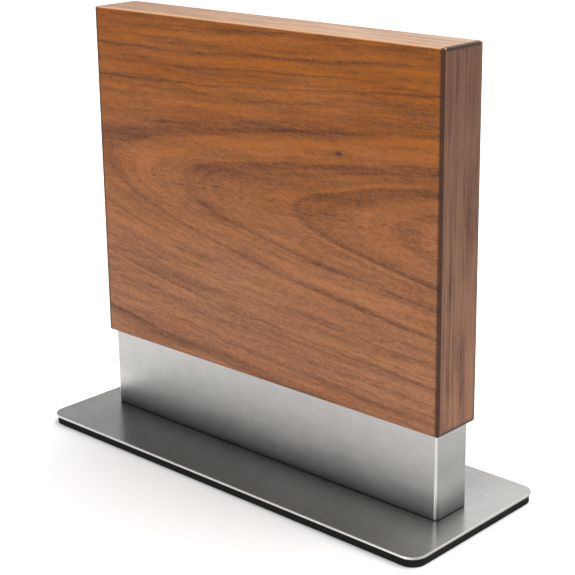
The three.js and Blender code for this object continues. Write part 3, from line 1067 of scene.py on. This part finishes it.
class KNIFEBLOCK_OT_bolts(bpy.types.Operator):
    """Make the tie bolts and their washers"""

    bl_idname = "knifeblock.bolts"
    bl_label = "Bolts and Washers"

    def execute(self, context):
        finish = plated("zinc_fastener", context.scene.knife_block_colours.zinc, 0.34)
        for place in BOLT_PLACES:
            points, faces = bolt_shape(f"tie_bolt_{place}")
            make_piece(f"bolt_{place}", points, faces, finish, [f"tie_bolt_{place}"])
            points, faces = washer_shape(f"washer_{place}")
            make_piece(f"bolt_washer_{place}", points, faces, finish, [f"washer_{place}"])
        return {"FINISHED"}


class KNIFEBLOCK_OT_inside(bpy.types.Operator):
    """Give the pieces inside the slab and the neck their materials"""

    bl_idname = "knifeblock.inside"
    bl_label = "Inside Pieces"

    def execute(self, context):
        tones = context.scene.knife_block_colours
        finishes = {
            sawn("sawn_core"): ["core_board"],
            plated("nickel_magnet", tones.nickel, 0.22): MAGNET_NODES,
            plated("rolled_steel", tones.zinc, 0.42): [
                *BACKING_NODES, "neck_head_plate", "neck_foot_plate",
            ],
            plated("turned_brass", tones.brass, 0.3): [f"threaded_insert_{place}" for place in BOLT_PLACES],
        }
        for finish, nodes in finishes.items():
            for node in nodes:
                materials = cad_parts[node].data.materials
                materials.clear()
                materials.append(finish)
        return {"FINISHED"}


class KNIFEBLOCK_OT_stage(bpy.types.Operator):
    """Make the floor, the studio light and the camera"""

    bl_idname = "knifeblock.stage"
    bl_label = "Stage"

    def execute(self, context):
        stage = context.scene.knife_block_stage
        make_floor(stage)
        light_studio(context.scene, stage)
        place_camera(context.scene, stage)
        context.scene.view_settings.view_transform = "Standard"
        return {"FINISHED"}


def make_floor(stage):
    """A wide pale floor just under the mat."""
    mesh = bpy.data.meshes.new("floor")
    signs = ((-1, -1), (1, -1), (1, 1), (-1, 1))
    corners = [(x * FLOOR_HALF, y * FLOOR_HALF, FLOOR_LEVEL) for x, y in signs]
    mesh.from_pydata(corners, [], [(0, 1, 2, 3)])

    def paint(graph):
        x, y, _ = graph.place()
        cloud = graph.noise(x / 400, y / 400, 0.0, detail=2)
        return {"Base Color": colour(stage.floor), "Roughness": 0.6 + 0.1 * cloud}

    mesh.materials.append(material("pale_floor", paint))
    floor = bpy.data.objects.new("floor", mesh)
    bpy.context.scene.collection.objects.link(floor)


def facing(x, y, heading):
    """How squarely a level direction points along a heading in degrees."""
    return x * math.cos(math.radians(heading)) + y * math.sin(math.radians(heading))


def light_studio(scene, stage):
    """A dome of soft light: pale walls, a softbox overhead, a strip light in front, and two screens.

    A black screen stands to the front left, and a grey one to the rear left. The camera itself sees white.
    """
    world = bpy.data.worlds.new("studio")
    world.use_nodes = True
    scene.world = world
    graph = Graph(world.node_tree)
    x, y, z = graph.split(graph.node("ShaderNodeTexCoord", output=0))
    overhead = (SOFTBOX_WAY[0] * x + SOFTBOX_WAY[1] * y + SOFTBOX_WAY[2] * z).step(*SOFTBOX_EDGE)
    black = facing(x, y, stage.black_side).step(*BLACK_EDGE) * (1 - z.step(*BLACK_TOP))
    grey = facing(x, y, stage.grey_side).step(*GREY_EDGE) * (1 - z.step(*GREY_TOP))
    walls = stage.walls * (1 - 0.9 * grey)
    around = walls + (stage.black - walls) * black
    strip = (1 - abs(x + 0.1).step(0.04, 0.09)) * (1 - y.step(-0.75, -0.7)) * (1 - z.step(0.5, 0.6))
    seen = around + (stage.overhead - around) * overhead + stage.strip * strip
    eye = graph.node("ShaderNodeLightPath", output=0)
    strength = seen + (1.0 - seen) * eye
    shader = graph.node("ShaderNodeBackground", None, {"Color": (1, 1, 1, 1), "Strength": strength})
    graph.node("ShaderNodeOutputWorld", None, {"Surface": shader})


def place_camera(scene, stage):
    """The camera stands off the front right corner and looks a little down."""
    data = bpy.data.cameras.new("camera")
    data.lens = stage.lens
    data.shift_y = CAMERA_SHIFT
    camera = bpy.data.objects.new("camera", data)
    scene.collection.objects.link(camera)
    heading, down, tilt = [math.radians(angle) for angle in (CAMERA_HEADING, CAMERA_DOWN, CAMERA_TILT)]
    turn = Matrix.Rotation(heading, 4, "Z") @ Matrix.Rotation(math.pi / 2 - down, 4, "X")
    camera.matrix_world = Matrix.Translation(CAMERA_PLACE) @ turn @ Matrix.Rotation(tilt, 4, "Z")
    scene.camera = camera


class KNIFEBLOCK_PT_panel(bpy.types.Panel):
    """Settings and operators of the knife block."""

    bl_label = "Knife Block"
    bl_idname = "KNIFEBLOCK_PT_panel"
    bl_space_type = "VIEW_3D"
    bl_region_type = "UI"
    bl_category = "Knife Block"

    def draw(self, context):
        layout = self.layout
        for group in (
            context.scene.knife_block_sizes,
            context.scene.knife_block_colours,
            context.scene.knife_block_stage,
        ):
            box = layout.box()
            for name in group.__annotations__:
                box.prop(group, name)
        for operator in OPERATORS:
            layout.operator(operator.bl_idname)


OPERATORS = (
    KNIFEBLOCK_OT_leaves,
    KNIFEBLOCK_OT_strips,
    KNIFEBLOCK_OT_neck,
    KNIFEBLOCK_OT_plate,
    KNIFEBLOCK_OT_mat,
    KNIFEBLOCK_OT_bolts,
    KNIFEBLOCK_OT_inside,
    KNIFEBLOCK_OT_stage,
)
CLASSES = (KnifeBlockSizes, KnifeBlockColours, KnifeBlockStage, *OPERATORS, KNIFEBLOCK_PT_panel)


def register():
    """Adds the classes and the scene's settings."""
    for item in CLASSES:
        bpy.utils.register_class(item)
    bpy.types.Scene.knife_block_sizes = bpy.props.PointerProperty(type=KnifeBlockSizes)
    bpy.types.Scene.knife_block_colours = bpy.props.PointerProperty(type=KnifeBlockColours)
    bpy.types.Scene.knife_block_stage = bpy.props.PointerProperty(type=KnifeBlockStage)


def unregister():
    """Takes the settings and the classes away."""
    del bpy.types.Scene.knife_block_stage
    del bpy.types.Scene.knife_block_colours
    del bpy.types.Scene.knife_block_sizes
    for item in reversed(CLASSES):
        bpy.utils.unregister_class(item)


def main():
    """Registers the add-on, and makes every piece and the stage."""
    register()
    bpy.ops.knifeblock.leaves()
    bpy.ops.knifeblock.strips()
    bpy.ops.knifeblock.neck()
    bpy.ops.knifeblock.plate()
    bpy.ops.knifeblock.mat()
    bpy.ops.knifeblock.bolts()
    bpy.ops.knifeblock.inside()
    bpy.ops.knifeblock.stage()


if __name__ == "__main__":
    main()
